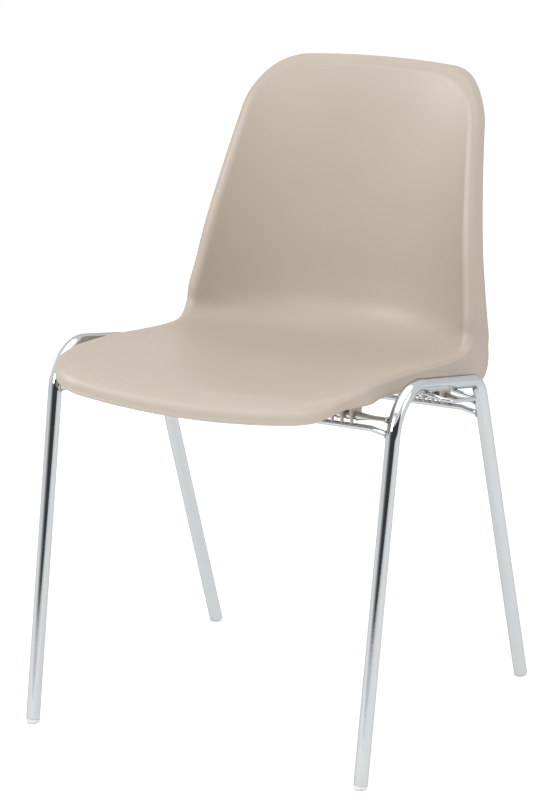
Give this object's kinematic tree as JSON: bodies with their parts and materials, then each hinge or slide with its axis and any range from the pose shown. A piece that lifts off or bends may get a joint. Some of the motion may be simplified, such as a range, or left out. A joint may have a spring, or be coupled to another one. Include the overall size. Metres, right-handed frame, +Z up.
{
  "type": "stacking chair",
  "caption": "Stacking chair: a one-piece moulded plastic bucket shell on two bent chromed steel side frames joined by cross members, with row-linking wires.",
  "frame": {"origin": "on the floor, under the middle of the chair's overall box", "axes": "+Z up; the sitter faces -Y; +X is the sitter's left"},
  "size_m": [0.5425, 0.5139, 0.7857],
  "materials": {
    "shell_plastic": "fine-grained satin",
    "chromed_steel": "bright chrome plate",
    "glide_plastic": "milky translucent"
  },
  "bodies": {
    "root": {"seat_shell": "shell_plastic", "left_side_frame": "chromed_steel", "right_side_frame": "chromed_steel", "front_cross_rod": "chromed_steel", "rear_cross_rod": "chromed_steel", "front_cross_tube": "chromed_steel", "rear_cross_tube": "chromed_steel", "link_loop": "chromed_steel", "link_hooks": "chromed_steel", "glide_front_left": "glide_plastic", "glide_front_right": "glide_plastic", "glide_rear_left": "glide_plastic", "glide_rear_right": "glide_plastic"}
  },
  "joints": []
}
